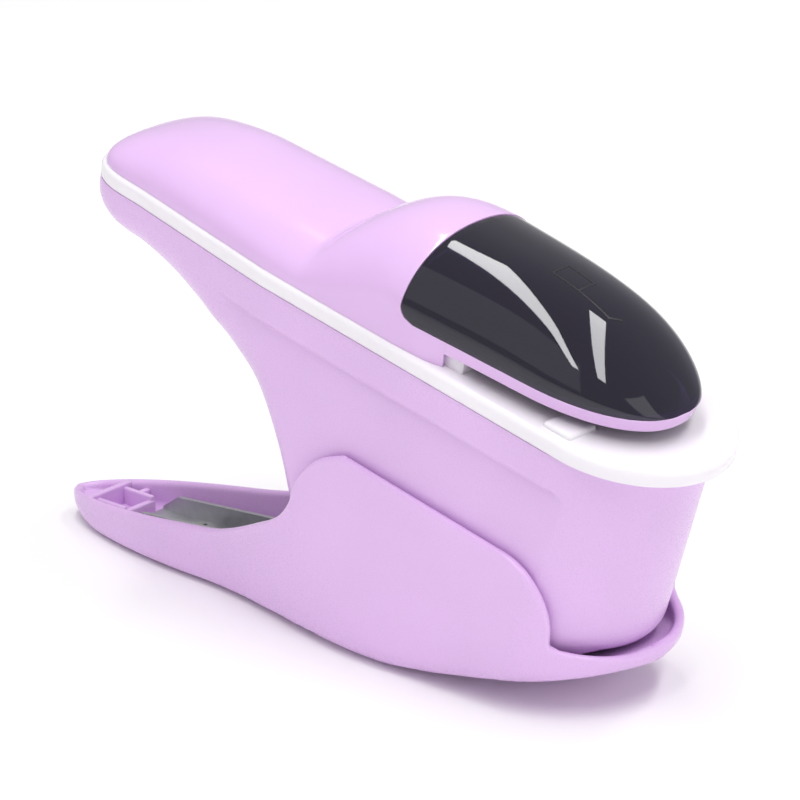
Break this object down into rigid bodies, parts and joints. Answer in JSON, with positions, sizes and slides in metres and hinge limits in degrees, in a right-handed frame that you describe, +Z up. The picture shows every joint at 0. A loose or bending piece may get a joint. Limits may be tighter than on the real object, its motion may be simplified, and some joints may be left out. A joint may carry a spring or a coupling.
{
  "type": "handheld staple-free stapler",
  "caption": "Handheld squeeze stapler that binds paper without staples, with a palm grip, paper slot, smoked window and winged lever.",
  "frame": {"origin": "on the flat sole of the lever, on the surface it stands on, in the mid-plane", "axes": "+X towards the nose of the head, +Z up"},
  "size_m": [0.14, 0.0366, 0.0764],
  "materials": {
    "lilac_abs": "glossy moulded ABS",
    "white_abs": "glossy moulded ABS",
    "smoked_window": "polished smoked polycarbonate",
    "black_acetal": "moulded acetal",
    "zinc_steel": "zinc-plated pressed steel",
    "bright_steel": "turned and ground steel",
    "blade_steel": "ground hardened steel",
    "spring_steel": "drawn spring wire"
  },
  "bodies": {
    "housing": {"handle_cover": "lilac_abs", "head_window": "smoked_window", "paper_table": "white_abs", "paper_stop": "white_abs", "body_shell": "lilac_abs", "frame_left": "zinc_steel", "frame_right": "zinc_steel", "frame_spacers": "zinc_steel", "guide_bracket": "black_acetal", "guide_rods": "bright_steel", "lever_pivot_pin": "bright_steel", "lever_spring": "spring_steel", "punch_springs": "spring_steel", "anvil_plate": "black_acetal", "tuck_pin": "bright_steel", "tuck_spring": "spring_steel", "cover_screws": "bright_steel", "table_screws": "bright_steel"},
    "lever": {"lever_shell": "lilac_abs", "lever_channel": "zinc_steel", "channel_screws": "bright_steel", "drive_pin": "bright_steel"},
    "punch": {"punch_carriage": "bright_steel", "flap_blade": "blade_steel", "slit_blade": "blade_steel", "blade_pin": "bright_steel"},
    "tuck_arm": {"tuck_arm": "black_acetal"}
  },
  "joints": [
    {"name": "lever_squeeze", "type": "hinge", "parent": "housing", "child": "lever", "pos_m": [0.0583, 0, 0.0162], "axis": [0, 1, 0], "range_deg": [0, 20], "stiffness_Nm_per_rad": 1, "springref_deg": -20.05, "deforming": ["lever_spring"]},
    {"name": "punch_rise", "type": "slide", "parent": "housing", "child": "punch", "axis": [0.2267, 0, 0.974], "range_m": [0, 0.0085], "deforming": ["punch_springs"]},
    {"name": "tuck_swing", "type": "hinge", "parent": "housing", "child": "tuck_arm", "pos_m": [0.06637, 0, 0.05662], "axis": [0, 1, 0], "range_deg": [0, 12], "deforming": ["tuck_spring"]}
  ],
  "couplings": [
    {"joint": "punch_rise", "follows": "lever_squeeze", "m_per_rad": 0.023878},
    {"joint": "tuck_swing", "follows": "lever_squeeze", "ratio": 0.6}
  ]
}
